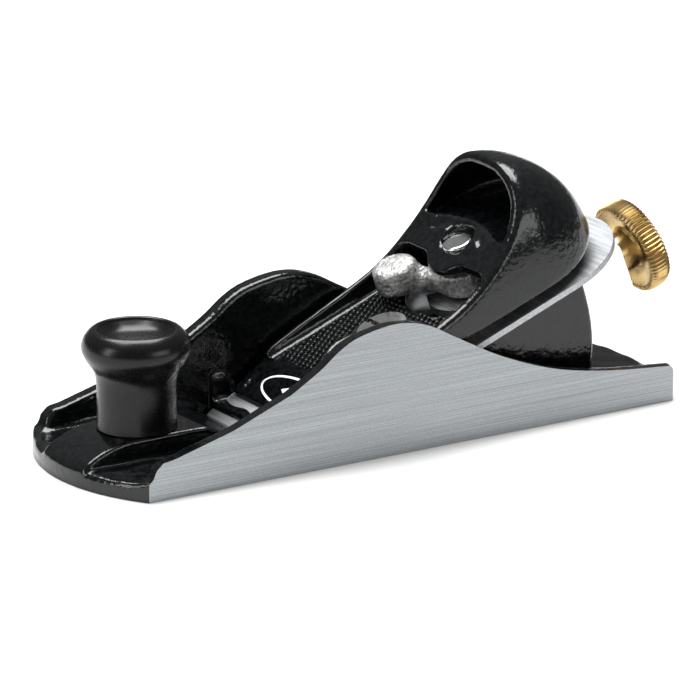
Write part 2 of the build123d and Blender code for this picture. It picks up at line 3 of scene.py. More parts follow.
import bmesh
import bpy
import numpy as np
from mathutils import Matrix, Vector


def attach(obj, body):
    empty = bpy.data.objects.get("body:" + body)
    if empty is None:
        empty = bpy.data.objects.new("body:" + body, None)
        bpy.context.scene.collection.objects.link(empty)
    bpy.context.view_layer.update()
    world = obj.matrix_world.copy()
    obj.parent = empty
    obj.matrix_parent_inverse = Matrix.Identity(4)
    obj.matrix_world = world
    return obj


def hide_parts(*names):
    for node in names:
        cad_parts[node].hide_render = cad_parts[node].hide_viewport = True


# A block plane: enamelled iron body with ground cheeks, turned black knob, bevel-up blade,
# hooded lever cap with a zinc cam lever, and a knurled brass wheel.
# Shapes are worked out in millimetres and built in metres.  Along the tool is x, from toe to heel;
# on the sloping bed, u runs up the blade, v out of it and y across.

MM = 0.001

# ---------------------------------------------------------------- sizes of the real pieces, mm

EDGE_X, EDGE_Z = -26.2, 0.15        # where the sloping frame of the bed starts
SLOPE = radians(21)                 # the bed
BED_TOP = 0.5                       # the bed's surface, out of that frame's base plane
TOE_X, HEEL_X = -77.7, 77.7
TOE_RADIUS, HEEL_RADIUS = 43.6, 74.0
HALF_WIDTH = 25.5
BODY_TOP = 31.3                     # height of the cheeks' crests
WELL_HALF_WIDTH = 21.7              # between the cheeks
SPARE_SIDE, SPARE_BELOW = 1.2, 1.5  # iron that the grinder takes off
FLOOR = 4.0                         # top of the sole plate
PAD_TOP = 9.3                       # top of the pad under the knob
MOUTH_FRONT, MOUTH_REAR = -28.0, -24.2
MOUTH_LIP = 2.0                     # thickness of the sole at the mouth's front edge
RAMP_RISE = 7.3 / 16.2              # slope of the ramp between the pad and the mouth
RIB_INNER, RIB_OUTER = 10.0, 16.0   # the bed's two ribs, half-distances across
CAST_FILLET = 2.4                   # fillets in the casting's inner corners
KNOB_X = -57.2
CAM_U = 65.8                        # the cam's axis, along the blade
CAM_HOLE = 2.05                     # radius of the hole for the cam's pin
SCREW_U, SCREW_HOLE = 40.3, 3.6     # the cap screw, and its hole's radius
PIVOT_U, PIVOT_HOLE = 52.0, 2.05    # the lateral lever's pivot
KEY_SLOT, KEY_EYE = 3.8, 6.5        # radii of the keyhole's narrow and wide ends
KEY_TRAVEL = 8                      # from one to the other
NOSE_U, NOSE_TOP = 8.4, 3.2         # front end of the cap's panel
RAMP_END_U, PANEL_TOP = 19.0, 6.4   # where the panel turns level, and its height there
WELL_RADIUS = 15.5                  # round opening in the panel, about the cam
HOOD_START, HOOD_BASE = 74.0, 3.3   # where the arch turns into the dome, and its base
HOOD_REAR, HOOD_SPAN, HOOD_RISE = 23.4, 20.2, 29.4
ARCH_FULLNESS, DOME_FULLNESS = 2.64, 2.09   # 2 is a plain ellipse, more is squarer
HOOD_WALL = 2.3
WHEEL_U, WHEEL_THICK, WHEEL_V = 106.3, 5.4, -9.3
WHEEL_BORE = 2.55
KNURL_TEETH = 64

# ---------------------------------------------------------------- places on the sloping bed


def bed_point(u, v, y=0.0):
    """A point u up the bed, v out of it and y across, in mm."""
    return np.array((
        EDGE_X + u * cos(SLOPE) - v * sin(SLOPE), y, EDGE_Z + u * sin(SLOPE) + v * cos(SLOPE),
    ))


def from_bed(points):
    """Turns rows of (u, y, v) into rows of (x, y, z)."""
    u, y, v = points.T
    return np.stack((
        EDGE_X + u * cos(SLOPE) - v * sin(SLOPE), y, EDGE_Z + u * sin(SLOPE) + v * cos(SLOPE),
    ), axis=1)


def on_bed(x, z):
    """How far up the bed, and how far out of it, a point is."""
    u = (x - EDGE_X) * cos(SLOPE) + (z - EDGE_Z) * sin(SLOPE)
    v = (z - EDGE_Z) * cos(SLOPE) - (x - EDGE_X) * sin(SLOPE)
    return u, v


def bed_height(x, v):
    """Height, at x, of the plane that lies v out of the bed's frame."""
    return EDGE_Z + (x - EDGE_X) * tan(SLOPE) + v / cos(SLOPE)


# ---------------------------------------------------------------- shapes as distances

# A cast piece is worked out as one distance field: below zero is metal.  Blending two fields
# gives the soft fillets that a casting has, and its skin is then laid over the zero level.


def blend_join(a, b, soft):
    """Metal of either field, with a fillet of about this size where they meet."""
    h = np.clip(0.5 + 0.5 * (b - a) / soft, 0, 1)
    return b + (a - b) * h - soft * h * (1 - h)


def blend_keep(a, b, soft):
    """Metal that is in both fields, with the edge between them rounded."""
    return -blend_join(-a, -b, soft)


def blend_cut(a, b, soft):
    """Metal of a with b taken away, its edge rounded."""
    return blend_keep(a, -b, soft)


def outline_distance(outline, px, py):
    """Distance to a closed outline in its plane, below zero inside."""
    pts = np.asarray(outline, float)
    best = np.full(np.broadcast(px, py).shape, 1e9)
    inside = np.zeros(best.shape, bool)
    for (ax, ay), (bx, by) in zip(pts, np.roll(pts, -1, axis=0)):
        ex, ey = bx - ax, by - ay
        length = ex * ex + ey * ey
        if length < 1e-12:
            continue
        t = np.clip(((px - ax) * ex + (py - ay) * ey) / length, 0, 1)
        best = np.minimum(best, (px - ax - t * ex) ** 2 + (py - ay - t * ey) ** 2)
        if abs(ey) > 1e-12:
            crosses = ((ay > py) != (by > py)) & (px < ex * (py - ay) / ey + ax)
            inside ^= crosses
    return np.where(inside, -1, 1) * np.sqrt(best)


def smooth_curve(points, steps=8):
    """Points of a smooth curve through the given ones."""
    p = np.asarray(points, float)
    ends = np.vstack((2 * p[0] - p[1], p, 2 * p[-1] - p[-2]))
    t = np.linspace(0, 1, steps, endpoint=False)[:, None]
    parts = []
    for a, b, c, d in zip(ends, ends[1:], ends[2:], ends[3:]):
        parts.append(0.5 * (
            2 * b + (c - a) * t + (2 * a - 5 * b + 4 * c - d) * t**2
            + (3 * b - a - 3 * c + d) * t**3
        ))
    return [tuple(q) for q in np.vstack(parts + [p[-1:]])]


def in_side_view(outline, u, v):
    """Distance to an outline drawn in side view, at grid points or at loose ones."""
    if np.ndim(u) == 1:
        return outline_distance(outline, u, v)
    return outline_distance(outline, u[:, :, 0], v[0, :, :][:1])[:, None, :]


def slab(p, low, high):
    """Distance to the space between two parallel planes."""
    return np.maximum(low - p, p - high)


def capsule(px, py, pz, a, b, ra, rb):
    """Distance to a round bar from a to b whose radius runs from ra to rb."""
    ab = np.subtract(b, a)
    t = ((px - a[0]) * ab[0] + (py - a[1]) * ab[1] + (pz - a[2]) * ab[2]) / float(ab @ ab)
    t = np.clip(t, 0, 1)
    gap = sum((p - start - t * run) ** 2 for p, start, run in zip((px, py, pz), a, ab))
    return np.sqrt(gap) - (ra + (rb - ra) * t)


def from_axis(u, y, at_u):
    """Distance from an axis that stands on the bed's middle line."""
    return np.sqrt((u - at_u) ** 2 + y**2)


def lay_skin(field, low, high, step):
    """Lays four-sided faces over the zero level of a field.  Returns corners and faces."""
    axes = [np.arange(lo, hi + step, step) for lo, hi in zip(low, high)]
    d = field(axes[0][:, None, None], axes[1][None, :, None], axes[2][None, None, :])
    inside = d < 0
    n = [len(a) - 1 for a in axes]
    total = np.zeros(n + [3])
    hits = np.zeros(n)
    cells = [slice(0, -1), slice(1, None)]
    for axis in range(3):
        others = [k for k in range(3) if k != axis]
        for side_a in (0, 1):
            for side_b in (0, 1):
                pick = [None] * 3
                pick[others[0]], pick[others[1]] = cells[side_a], cells[side_b]
                pick[axis] = slice(0, -1)
                start = d[tuple(pick)]
                pick[axis] = slice(1, None)
                end = d[tuple(pick)]
                crossing = (start < 0) != (end < 0)
                share = np.where(crossing, start / np.where(crossing, start - end, 1), 0)
                total[..., axis] += share
                total[..., others[0]] += crossing * side_a
                total[..., others[1]] += crossing * side_b
                hits += crossing
    used = hits > 0
    number = np.full(n, -1)
    number[used] = np.arange(used.sum())
    where = np.argwhere(used)
    corners = (where + total[used] / hits[used][:, None]) * step + np.asarray(low)
    faces = []
    for axis in range(3):
        a, b = [k for k in range(3) if k != axis]
        core = [slice(1, -1)] * 3
        core[axis] = slice(0, -1)
        ahead = list(core)
        ahead[axis] = slice(1, None)
        leaving = inside[tuple(core)] & ~inside[tuple(ahead)]
        entering = ~inside[tuple(core)] & inside[tuple(ahead)]
        for change, turned in ((leaving, axis == 1), (entering, axis != 1)):
            at = np.argwhere(change) + [0 if k == axis else 1 for k in range(3)]
            ring = []
            for da, db in ((1, 1), (0, 1), (0, 0), (1, 0)):
                cell = at.copy()
                cell[:, a] -= da
                cell[:, b] -= db
                ring.append(number[cell[:, 0], cell[:, 1], cell[:, 2]])
            faces.append(np.stack(ring[::-1] if turned else ring, axis=1))
    faces = np.vstack(faces)
    # draw each corner onto the true surface, in small steps down the field's slope
    h, rounds = 0.02, 3
    for _ in range(rounds):
        x, y, z = corners.T
        here = field(x, y, z)
        slope = np.stack([
            (field(x + h, y, z) - here) / h, (field(x, y + h, z) - here) / h,
            (field(x, y, z + h) - here) / h,
        ], axis=1)
        size = np.maximum((slope**2).sum(axis=1), 0.05)
        move = -here[:, None] * slope / size[:, None]
        corners = corners + np.clip(move, -step / 2, step / 2)
    return corners, faces


# ---------------------------------------------------------------- meshes and pieces


def make_piece(name, corners, faces, body, finish, stands_for=(), soft=True):
    """Makes a piece from corners in mm, gives it its finish and hands it to its moving body."""
    mesh = bpy.data.meshes.new(name)
    mesh.from_pydata(np.asarray(corners, float) * MM, [], [list(map(int, f)) for f in faces])
    mesh.validate()
    mesh.update()
    if soft:
        mesh.shade_smooth()
    piece = bpy.data.objects.new(name, mesh)
    bpy.context.scene.collection.objects.link(piece)
    mesh.materials.append(finish)
    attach(piece, body)
    if stands_for:
        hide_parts(*stands_for)
    return piece


def turn_profile(profile, count, wave=None):
    """Turns a profile of (radius, height) about an axis.  Returns corners and faces."""
    corners, faces = [], []
    for k in range(count):
        angle = 2 * pi * k / count
        for radius, height in profile:
            r = radius + (wave(radius, height, angle) if wave else 0)
            corners.append((r * cos(angle), r * sin(angle), height))
    rows = len(profile)
    for k in range(count):
        nxt = (k + 1) % count
        for j in range(rows - 1):
            faces.append((k * rows + j, nxt * rows + j, nxt * rows + j + 1, k * rows + j + 1))
    return np.array(corners), faces


def smooth_by_angle(piece, angle):
    """Keeps edges sharper than the angle crisp and smooths the others."""
    bpy.ops.object.select_all(action="DESELECT")
    piece.select_set(True)
    bpy.context.view_layer.objects.active = piece
    bpy.ops.object.shade_smooth_by_angle(angle=radians(angle))


def ease_edges(piece, width):
    """Takes the sharpness off a machined piece's edges."""
    bevel = piece.modifiers.new("eased edges", "BEVEL")
    bevel.width = width * MM
    bevel.segments = 2
    bevel.limit_method = "ANGLE"
    bevel.angle_limit = radians(35)
    bevel.harden_normals = False


# ---------------------------------------------------------------- materials


def linear(hex_colour):
    """An sRGB hex value as linear red, green, blue and one."""
    parts = [int(hex_colour[k:k + 2], 16) / 255 for k in (1, 3, 5)]
    return tuple(c / 12.92 if c <= 0.04045 else ((c + 0.055) / 1.055) ** 2.4 for c in parts) + (1,)


def add(tree, kind, settings=None, **links):
    """Adds a node, sets its values and joins its inputs to other nodes' outputs."""
    node = tree.nodes.new(kind)
    for key, value in (settings or {}).items():
        if key in node.inputs:
            node.inputs[key].default_value = value
        else:
            setattr(node, key, value)
    for key, source in links.items():
        tree.links.new(source, node.inputs[key.replace("_", " ")])
    return node


def new_material(name, **sockets):
    """A material with its shader's even values set.  Returns it, its tree and its shader."""
    material = bpy.data.materials.new(name)
    material.use_nodes = True
    shader = material.node_tree.nodes["Principled BSDF"]
    for key, value in sockets.items():
        shader.inputs[key.replace("_", " ")].default_value = value
    return material, material.node_tree, shader


def per_metre(millimetres):
    """Scale of a pattern whose features are this far apart."""
    return 1000 / millimetres


def noise(tree, place, apart, detail, roughness=0.5):
    """Cloudy pattern whose features are this many millimetres apart."""
    return add(tree, "ShaderNodeTexNoise", {"Scale": per_metre(apart), "Detail": detail,
               "Roughness": roughness}, Vector=place).outputs["Fac"]


def drawn_out(tree, place, spacings, detail, roughness=0.5):
    """Lines: a cloudy pattern with its own spacing in millimetres along x, y and z."""
    stretch = add(tree, "ShaderNodeMapping", {"Scale": tuple(map(per_metre, spacings))},
                  Vector=place).outputs["Vector"]
    return add(tree, "ShaderNodeTexNoise", {"Scale": 1.0, "Detail": detail,
               "Roughness": roughness}, Vector=stretch).outputs["Fac"]


def mixed(tree, first, second, share):
    """Two patterns added in shares, the second's given."""
    both = add(tree, "ShaderNodeMix", {"data_type": "FLOAT", "Factor": share})
    tree.links.new(first, both.inputs[2])
    tree.links.new(second, both.inputs[3])
    return both.outputs[0]


def two_tone(tree, shader, pattern, dark, light, low=0.0, high=1.0):
    """Colours the surface between two tones as the pattern runs from low to high."""
    shade = add(tree, "ShaderNodeValToRGB", Fac=pattern)
    for stop, position, tone in zip(shade.color_ramp.elements, (low, high), (dark, light)):
        stop.position = position
        stop.color = linear(tone)
    tree.links.new(shade.outputs["Color"], shader.inputs["Base Color"])


def gloss(tree, shader, pattern, low, high):
    """Lets the roughness wander between two values with the pattern."""
    spread = add(tree, "ShaderNodeMapRange", {"To Min": low, "To Max": high}, Value=pattern)
    tree.links.new(spread.outputs["Result"], shader.inputs["Roughness"])


def relief(tree, shader, *layers):
    """Raises the surface by each layer of (pattern, strength, depth in millimetres)."""
    below = {}
    for pattern, strength, depth in layers:
        bump = add(tree, "ShaderNodeBump", {"Strength": strength, "Distance": depth * MM},
                   Height=pattern, **below)
        below = {"Normal": bump.outputs["Normal"]}
    tree.links.new(below["Normal"], shader.inputs["Normal"])


def object_place(tree):
    return add(tree, "ShaderNodeTexCoord").outputs["Object"]


def black_enamel(name, lump=3.6, depth=0.09):
    """Stoved black enamel over rough cast iron: very dark, wet gloss, orange-peel skin."""
    material, tree, shader = new_material(name, Metallic=0.0, IOR=1.48)
    place = object_place(tree)
    lumps = noise(tree, place, lump, 2.0, 0.45)     # the casting below
    peel = noise(tree, place, 1.3, 2.0)             # the enamel's own skin
    # painted reflection: the colour's mottle with the peel, from near black to a cool dark grey,
    # stands in for the orange peel's mottled reflections
    two_tone(tree, shader, peel, "#020303", "#0F1214", 0.35, 0.65)
    gloss(tree, shader, peel, 0.1, 0.2)
    relief(tree, shader, (peel, 1.0, 0.11), (lumps, 0.8, depth))
    return material


def ground_iron():
    """Grey iron ground on a belt: bright and even, with fine lines that run heel to toe."""
    material, tree, shader = new_material("ground_iron", Metallic=0.8)
    place = object_place(tree)
    # belt lines 80 mm long and 0.3 mm apart, coarser than the real grit so that they show
    lines = drawn_out(tree, place, (80, 0.3, 0.3), 4.0, 0.7)
    speckle = noise(tree, place, 0.35, 1.0)
    two_tone(tree, shader, mixed(tree, lines, speckle, 0.25), "#7D8184", "#B2B6B8", 0.32, 0.68)
    gloss(tree, shader, lines, 0.36, 0.52)
    relief(tree, shader, (lines, 0.35, 0.03))
    return material


def satin_steel(name="satin_steel", tint="#7F8285", rough=(0.3, 0.46)):
    """Rolled and surface-ground tool steel: cool grey, with fine straight marks across it."""
    material, tree, shader = new_material(name, Metallic=1.0)
    lines = drawn_out(tree, object_place(tree), (0.4, 12, 0.4), 3.0)
    shade = add(tree, "ShaderNodeMix", {"data_type": "RGBA"}, Factor=lines)
    shade.inputs[6].default_value = linear(tint)
    shade.inputs[7].default_value = linear("#D8DADC")
    tree.links.new(shade.outputs[2], shader.inputs["Base Color"])
    gloss(tree, shader, lines, *rough)
    relief(tree, shader, (lines, 0.2, 0.02))
    return material


def nickel_plate():
    """Bright nickel over pressed steel: mirror-like, with the press's faint waviness."""
    material, tree, shader = new_material("nickel_plate", Metallic=1.0)
    place = object_place(tree)
    waves = noise(tree, place, 7, 1.0)
    haze = noise(tree, place, 1.2, 3.0)
    two_tone(tree, shader, haze, "#D9DBDC", "#EDEEEE")
    gloss(tree, shader, haze, 0.10, 0.20)
    relief(tree, shader, (waves, 0.4, 0.12))
    return material


def wheel_rings(tree, place, apart):
    """Turning marks: a pattern that depends only on the distance from the wheel's axis."""
    centre = bed_point(WHEEL_U, WHEEL_V) * MM
    moved = add(tree, "ShaderNodeMapping", {"vector_type": "POINT",
                "Location": tuple(-centre)}, Vector=place)
    turned = add(tree, "ShaderNodeVectorRotate", {"rotation_type": "Y_AXIS", "Angle": SLOPE},
                 Vector=moved.outputs["Vector"])
    split = add(tree, "ShaderNodeSeparateXYZ", Vector=turned.outputs["Vector"])
    flat = add(tree, "ShaderNodeCombineXYZ", Y=split.outputs["Y"], Z=split.outputs["Z"])
    radius = add(tree, "ShaderNodeVectorMath", {"operation": "LENGTH"},
                 Vector=flat.outputs["Vector"])
    return add(tree, "ShaderNodeTexNoise", {"noise_dimensions": "1D", "Scale": per_metre(apart),
               "Detail": 2.0}, W=radius.outputs["Value"]).outputs["Fac"]


def turned_brass():
    """Yellow brass off the lathe: warm, satin, with fine rings about its own axis."""
    material, tree, shader = new_material("turned_brass", Metallic=1.0)
    place = object_place(tree)
    tarnish = noise(tree, place, 5, 4.0)
    two_tone(tree, shader, tarnish, "#A1824C", "#D9BC82", 0.3, 0.7)
    gloss(tree, shader, tarnish, 0.22, 0.36)
    relief(tree, shader, (wheel_rings(tree, place, 0.35), 0.35, 0.03))
    return material


def cast_zinc():
    """Die-cast zinc, tumbled: light grey, pitted and grainy, with bright rubbed high spots."""
    material, tree, shader = new_material("cast_zinc", Metallic=1.0)
    place = object_place(tree)
    pits = add(tree, "ShaderNodeTexVoronoi", {"Scale": per_metre(0.55)}, Vector=place)
    grain = noise(tree, place, 0.9, 4.0, 0.7)
    blotch = noise(tree, place, 2.5, 3.0, 0.6)
    two_tone(tree, shader, mixed(tree, grain, blotch, 0.45), "#6A6B6C", "#E4E3E0", 0.36, 0.62)
    gloss(tree, shader, grain, 0.22, 0.5)
    relief(tree, shader, (pits.outputs["Distance"], 1.0, 0.12), (grain, 1.0, 0.45))
    return material


def moulded_plastic():
    """Compression-moulded phenolic: deep black with the soft gloss of a worn mould."""
    material, tree, shader = new_material("black_phenolic", IOR=1.38)
    place = object_place(tree)
    ripples = noise(tree, place, 9, 1.0)
    dust = noise(tree, place, 0.5, 3.0)
    two_tone(tree, shader, dust, "#050506", "#0D0D0F")
    gloss(tree, shader, dust, 0.2, 0.32)
    relief(tree, shader, (dust, 0.25, 0.02), (ripples, 0.3, 0.08))
    return material


def marking_paint():
    """White enamel paint printed on the cap, a little thin in places."""
    material, tree, shader = new_material("marking_paint", Roughness=0.4)
    thin = noise(tree, object_place(tree), 0.8, 3.0)
    two_tone(tree, shader, thin, "#CFCFCC", "#F4F4F1", 0.25, 0.5)
    return material


# ---------------------------------------------------------------- body casting

CHEEK_OUTLINE = (
    [(TOE_X + 8, -1.5), (TOE_X + 8, 3.2), (-68.2, 4.6), (-67.4, 7.0), (-65.6, 8.6), (-62.7, 9.0)]
    + [(-47.0, 13.1)]
    + smooth_curve([
        (-31.5, 19.0), (-23.9, 23.4), (-18.6, 27.2), (-13.2, 29.6), (-3.8, 31.0), (4.4, 29.5),
        (12.6, 25.2), (24.9, 18.7), (39.5, 13.2), (54.5, 10.2), (71.0, 8.5), (74.2, 8.4),
    ])
    + [(75.5, 8.0), (76.3, 7.3), (76.7, 6.2), (80.5, 5.4), (80.5, -1.5)]
)


def blank_plan(x, y):
    """Distance to the body's outline from above, with the toe's and the heel's arcs."""
    away = -5   # stands for well inside
    toe = np.sqrt((x - TOE_X - TOE_RADIUS) ** 2 + y**2) - TOE_RADIUS
    toe = np.where(x < TOE_X + TOE_RADIUS, toe, away)
    heel = np.sqrt((x - HEEL_X + HEEL_RADIUS) ** 2 + y**2) - HEEL_RADIUS
    heel = np.where(x > HEEL_X - HEEL_RADIUS, heel, away)
    return toe, np.maximum(np.maximum(toe, heel), np.abs(y) - (HALF_WIDTH + SPARE_SIDE))


def sole_plate(x, y, z, plan):
    """Sole plate with its rough floor, the ramp before the mouth, and the bed behind it."""
    across = np.abs(y)
    plate_top = FLOOR + 0.12 * np.sin(0.55 * x + 0.8) * np.sin(0.7 * y)
    plate = np.maximum(blend_keep(z - plate_top, plan, 1.6), -SPARE_BELOW - z)
    ramp = z - (MOUTH_LIP + (MOUTH_FRONT - x) * RAMP_RISE)
    plate = np.where(x < MOUTH_REAR - 0.3, blend_keep(plate, ramp, 1.2), plate)
    bed = blend_keep((z - bed_height(x, BED_TOP)) * cos(SLOPE), x + 3.9, 2.0)
    bed = np.maximum(np.maximum(bed, MOUTH_REAR - x), across - WELL_HALF_WIDTH - 0.5)
    return np.where(x > MOUTH_FRONT + 0.5, blend_join(plate, bed, 2.0), plate)


def knob_pad(x, y, z, toe):
    """Pad under the knob, which spreads into the ramp and leaves a pocket on each side."""
    spread = np.clip((x + 48.2) / (48.2 - 30.0), 0, 1)
    half = 9.2 + 13.5 * spread**2.2
    nose = blend_join(4.4 + (x - TOE_X) * 0.55, PAD_TOP, 3.2)
    ramp = MOUTH_LIP + (MOUTH_FRONT - x) * RAMP_RISE
    pad = blend_keep(z - np.minimum(nose, ramp), np.abs(y) - half, 0.9)
    pad = np.maximum(blend_keep(pad, toe + 0.1, 1.8), x - MOUTH_FRONT)
    return np.maximum(pad, 0.5 - z)


def bed_ribs(x, y, z):
    """The bed's two ribs, their rear edge bowed."""
    rib = np.maximum(slab(np.abs(y), RIB_INNER, RIB_OUTER),
                     (z - bed_height(x, BED_TOP)) * cos(SLOPE))
    bow = 56.5 - 0.105 * (z - FLOOR) + 2.1 * np.sin(np.clip((z - FLOOR) / 27, 0, 1) * pi)
    return np.maximum(blend_keep(np.maximum(rib, -8 - x), x - bow, 1.4), -z)


def body_field(x, y, z):
    """The body casting, still with spare iron where it will be ground flat."""
    across = np.abs(y)
    u, v = on_bed(x, z)
    side = in_side_view(CHEEK_OUTLINE, x, z)
    toe, plan = blank_plan(x, y)
    cheeks = blend_keep(blend_keep(side - 0.2, plan, 1.6), WELL_HALF_WIDTH - across, 1.5)
    iron = blend_join(cheeks, sole_plate(x, y, z, plan), CAST_FILLET)
    iron = blend_join(iron, knob_pad(x, y, z, toe), 1.1)
    iron = blend_join(iron, bed_ribs(x, y, z), 1.8)
    # crossbar between the ribs, and the cap screw's boss
    bar = np.maximum(np.maximum(slab(u, 33.0, 60.0), slab(v, -9.1, -2.2)), across - 11)
    iron = blend_join(iron, bar, 1.2)
    boss = np.maximum(from_axis(u, y, SCREW_U) - 5.4, slab(v, -5, 0.1))
    iron = blend_join(iron, boss, 0.8)
    # lug on each cheek beside the blade
    lug = blend_keep(blend_keep(slab(x, -25.4, -19.0), slab(z, 2.5, 9.5), 3.0), 21.0 - across, 1.0)
    iron = blend_join(iron, np.maximum(lug, across - 22.5), 1.6)
    # mouth, and the plain holes of the cap screw and the lever's pivot
    mouth = np.maximum(slab(x, MOUTH_FRONT, MOUTH_REAR), across - WELL_HALF_WIDTH)
    iron = np.maximum(iron, -mouth)
    for at_u, radius, end in ((SCREW_U, SCREW_HOLE, -12), (PIVOT_U, PIVOT_HOLE, -8)):
        iron = np.maximum(iron, -np.maximum(from_axis(u, y, at_u) - radius, end - v))
    return np.maximum(np.maximum(iron, plan + 0.02), z - BODY_TOP)


def grind_flat(piece, ground_slot):
    """Cuts the body square at its cheeks and sole, as the grinder does, and marks those faces."""
    mesh = bmesh.new()
    mesh.from_mesh(piece.data)
    cuts = (
        ((0, HALF_WIDTH * MM, 0), (0, 1, 0)), ((0, -HALF_WIDTH * MM, 0), (0, -1, 0)),
        ((0, 0, 0), (0, 0, -1)),
    )
    for place, normal in cuts:
        everything = mesh.verts[:] + mesh.edges[:] + mesh.faces[:]
        cut = bmesh.ops.bisect_plane(
            mesh, geom=everything, dist=1e-7, plane_co=place, plane_no=normal, clear_outer=True,
        )
        rim = [e for e in cut["geom_cut"] if isinstance(e, bmesh.types.BMEdge)]
        filled = bmesh.ops.triangle_fill(
            mesh, edges=rim, use_beauty=True, use_dissolve=False, normal=normal,
        )
        for face in filled["geom"]:
            if isinstance(face, bmesh.types.BMFace):
                face.material_index = ground_slot
                face.smooth = False
                if face.normal.dot(Vector(normal)) < 0:
                    face.normal_flip()
        for edge in rim:
            if edge.is_valid:
                edge.smooth = False
    mesh.to_mesh(piece.data)
    mesh.free()


def body_casting(enamel, iron):
    """Enamelled casting with its cheeks and sole ground bright."""
    step = 0.66
    corners, faces = lay_skin(body_field, (-79.5, -28.5, -3.0), (79.8, 28.5, 32.6), step)
    piece = make_piece("cast_body", corners, faces, "plane_body", enamel,
                       ("body_casting",))
    piece.data.materials.append(iron)
    grind_flat(piece, ground_slot=1)
    return piece


# ---------------------------------------------------------------- front knob


def front_knob(finish):
    """Turned knob: straight waist, full rolled head and a dished top."""
    side = smooth_curve([
        (9.3, 0.0), (9.1, 2.0), (9.05, 6.0), (9.15, 10.5), (9.7, 13.2), (11.2, 15.6),
        (12.3, 17.7), (12.48, 19.4), (11.9, 21.2), (10.6, 22.7), (9.5, 23.25), (8.9, 23.1),
        (8.3, 22.4), (6.4, 21.0), (3.4, 20.3), (0.02, 20.1),
    ], 7)
    profile = [(0.02, 0.0), (5.0, 0.0), (9.0, 0.0)] + side
    corners, faces = turn_profile(profile, 128)
    corners = corners + (KNOB_X, 0, PAD_TOP)
    return make_piece("dished_knob", corners, faces, "plane_body", finish,
                      ("front_knob",))


# ---------------------------------------------------------------- lever cap

RIM_OUTLINE = (
    [(NOSE_U, 2.35), (NOSE_U, 3.3), (10.5, 4.4), (RAMP_END_U, PANEL_TOP), (RAMP_END_U, 7.6)]
    + smooth_curve([
        (21.0, 8.3), (28.0, 9.1), (36.0, 9.8), (44.0, 10.5), (51.0, 11.4), (56.0, 12.7),
        (60.5, 14.4), (66.5, 17.5), (71.5, 21.1), (75.4, 25.1), (77.8, 28.9), (79.3, 32.0),
        (79.8, 36.0),
    ])
    + [(102.0, 36.0), (102.0, 6.6), (100.0, 6.4)]
    + smooth_curve([(96.0, 5.6), (90.0, 4.6), (84.0, 3.9), (74.8, 3.6)])
    + [(15.0, 3.6), (11.0, 2.35)]
)
PANEL_OUTLINE = [
    (NOSE_U, 2.35), (NOSE_U, NOSE_TOP), (RAMP_END_U, PANEL_TOP), (66.0, PANEL_TOP), (66.0, 3.7),
    (15.0, 3.7), (11.0, 2.35),
]
SHELF_OUTLINE = [(61.2, 12.6), (61.6, 16.6), (62.8, 17.2), (67.0, 17.0), (99.0, 17.0),
                 (99.0, 12.6)]


def hood_distance(u, y, v, inset):
    """Distance to the hood's form, a full arch that ends in a dome, moved in by inset."""
    p, q = ARCH_FULLNESS, DOME_FULLNESS
    length, span, rise = HOOD_REAR - inset, HOOD_SPAN - inset, HOOD_RISE - inset
    back = np.maximum(u - HOOD_START, 0) / length
    side = np.abs(y) / span
    up = np.abs(v - HOOD_BASE) / rise
    arch = np.maximum(side**p + up**p, 1e-9)
    size = (arch ** (q / p) + back**q) ** (1 / q)
    pull = size ** (1 - q) * arch ** (q / p - 1)
    slope = np.sqrt(
        (pull * side ** (p - 1) / span) ** 2 + (pull * up ** (p - 1) / rise) ** 2
        + (size ** (1 - q) * back ** (q - 1) / length) ** 2
    )
    return (size - 1) / np.maximum(slope, 0.01)


def cap_field(u, y, v):
    """The lever cap, in the bed's own directions."""
    across = np.abs(y)
    from_cam = from_axis(u, y, CAM_U)
    outer = hood_distance(u, y, v, 0)
    inner = hood_distance(u, y, v, HOOD_WALL)
    solid = blend_keep(outer, in_side_view(RIM_OUTLINE, u, v), 1.8)
    metal = blend_cut(solid, inner, 0.8)
    # panel with its round well, and the shelf behind it
    panel = blend_keep(in_side_view(PANEL_OUTLINE, u, v), WELL_RADIUS - from_cam, 1.2)
    metal = blend_join(metal, np.maximum(panel, outer + 0.6), 2.2)
    shelf = np.maximum(in_side_view(SHELF_OUTLINE, u, v), outer + 1.4)
    metal = blend_join(metal, shelf, 2.6)
    # raised lip behind the boss
    lip = np.sqrt((u - 72.0 + 0.02 * y**2) ** 2 + (v - 16.4) ** 2) - 2.4
    metal = blend_join(metal, np.maximum(lip, across - 16.5), 2.0)
    # boss of the cam, with its cupped seat
    boss = blend_keep(from_cam - 7.9, slab(v, 11.2, 17.6), 2.0)
    metal = blend_join(metal, boss, 1.6)
    cup = blend_keep(from_cam - 4.6, 15.4 - v, 1.2)
    metal = np.maximum(blend_cut(metal, cup, 1.2), CAM_HOLE - from_cam)
    # keyhole
    slot = from_axis(u - np.clip(u, SCREW_U - KEY_TRAVEL, SCREW_U), y, 0) - KEY_SLOT
    eye = from_axis(u, y, SCREW_U - KEY_TRAVEL) - KEY_EYE
    metal = blend_cut(metal, np.maximum(np.minimum(slot, eye), v - 12), 0.8)
    return np.maximum(metal, solid)


def lever_cap(enamel):
    """Cap whose hood, panel and boss are one casting."""
    step = 0.56
    corners, faces = lay_skin(cap_field, (5.5, -21.2, 0.8), (102.5, 21.2, 36.0), step)
    return make_piece("hooded_cap", from_bed(corners), faces, "lever_cap", enamel,
                      ("lever_cap",))


